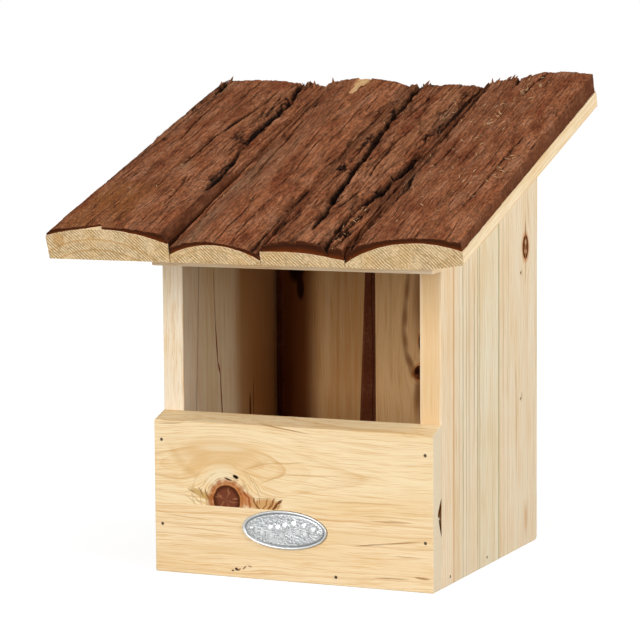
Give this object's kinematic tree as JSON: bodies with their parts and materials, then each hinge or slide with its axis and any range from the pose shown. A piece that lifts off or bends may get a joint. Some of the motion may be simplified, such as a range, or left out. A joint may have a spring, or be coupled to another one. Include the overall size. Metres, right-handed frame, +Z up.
{
  "type": "robin nest box",
  "caption": "Open-fronted pine nest box for robins with a low front board, a sloping roof of bark-covered slabs and a keyhole wall hanger.",
  "frame": {"origin": "middle of the whole object's footprint, on the plane that the box stands on", "axes": "+Z up, the open front towards -Y and the wall side towards +Y, +X to the right seen from the front"},
  "size_m": [0.2304, 0.2126, 0.2644],
  "materials": {
    "pine_board": "planed, untreated",
    "slab_wood": "rough sawn",
    "bark": "natural pine bark, rough",
    "nail_steel": "dull wire",
    "plate_metal": "pressed, satin",
    "hanger_zinc": "zinc plated"
  },
  "bodies": {
    "root": {"front_board": "pine_board", "front_lintel": "pine_board", "left_side_panel": "pine_board", "right_side_panel": "pine_board", "floor_board": "pine_board", "back_board_left": "pine_board", "back_board_right": "pine_board", "roof_slab_1": "slab_wood", "roof_slab_2": "slab_wood", "roof_slab_3": "slab_wood", "roof_slab_4": "slab_wood", "roof_bark_1": "bark", "roof_bark_2": "bark", "roof_bark_3": "bark", "roof_bark_4": "bark", "back_board_bark": "bark", "front_board_nails": "nail_steel", "front_floor_nails": "nail_steel", "lintel_nails": "nail_steel", "left_floor_nails": "nail_steel", "right_floor_nails": "nail_steel", "left_back_nails": "nail_steel", "right_back_nails": "nail_steel", "roof_nails": "nail_steel", "oval_plate": "plate_metal", "plate_pins": "plate_metal", "hanger_plate": "hanger_zinc", "hanger_screws": "hanger_zinc"}
  },
  "joints": []
}
